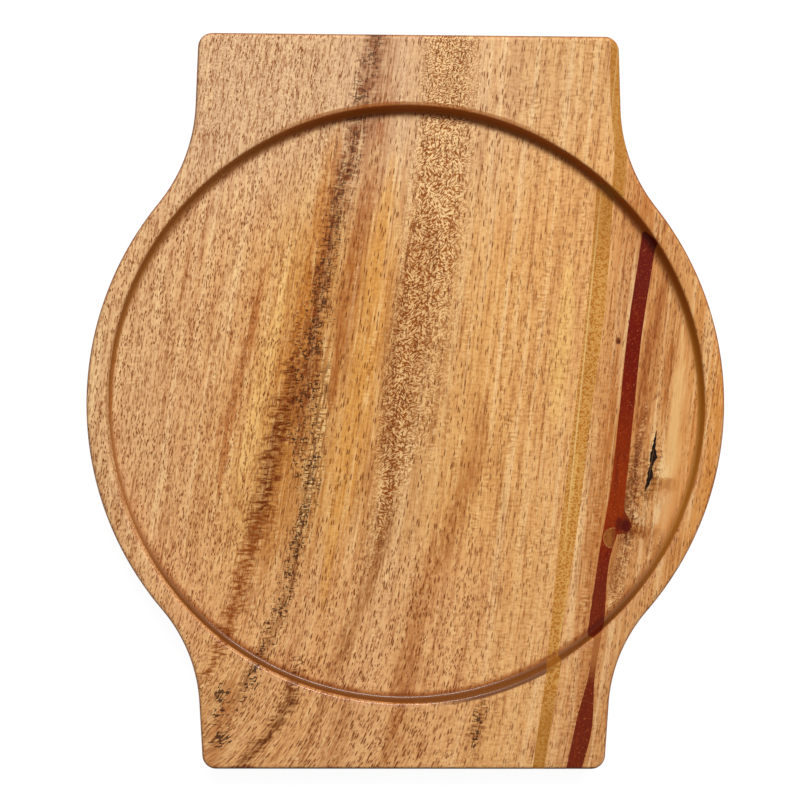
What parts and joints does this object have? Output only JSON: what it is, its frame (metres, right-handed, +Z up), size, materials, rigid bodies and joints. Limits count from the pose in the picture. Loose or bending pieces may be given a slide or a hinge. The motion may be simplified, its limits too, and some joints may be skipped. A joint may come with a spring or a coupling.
{
  "type": "wooden tray",
  "caption": "Hardwood serving tray with a round body, a wide grip at each end and a shallow round recess, crossed by natural amber and red gum veins.",
  "frame": {"origin": "on the underside, at the middle of the tray", "axes": "+Z up out of the recess, +Y along the tray from one grip to the other, +X across it to the side with the veins"},
  "size_m": [0.3466, 0.4, 0.02],
  "materials": {
    "board_wood": "oiled golden hardwood, satin",
    "amber_wood": "golden amber vein tissue, satin",
    "red_gum": "hard dark red gum, polished flush",
    "dark_gum": "hard dark brown gum, polished flush",
    "amber_gum": "hard amber gum, polished flush",
    "bark": "black ingrown bark",
    "knot_wood": "dark knot wood"
  },
  "bodies": {
    "root": {"main_board": "board_wood", "middle_strip": "board_wood", "edge_board": "board_wood", "amber_vein": "amber_wood", "red_vein": "red_gum", "gum_pocket": "dark_gum", "amber_bead": "amber_gum", "bark_pocket": "bark", "pin_knot": "knot_wood"}
  },
  "joints": []
}
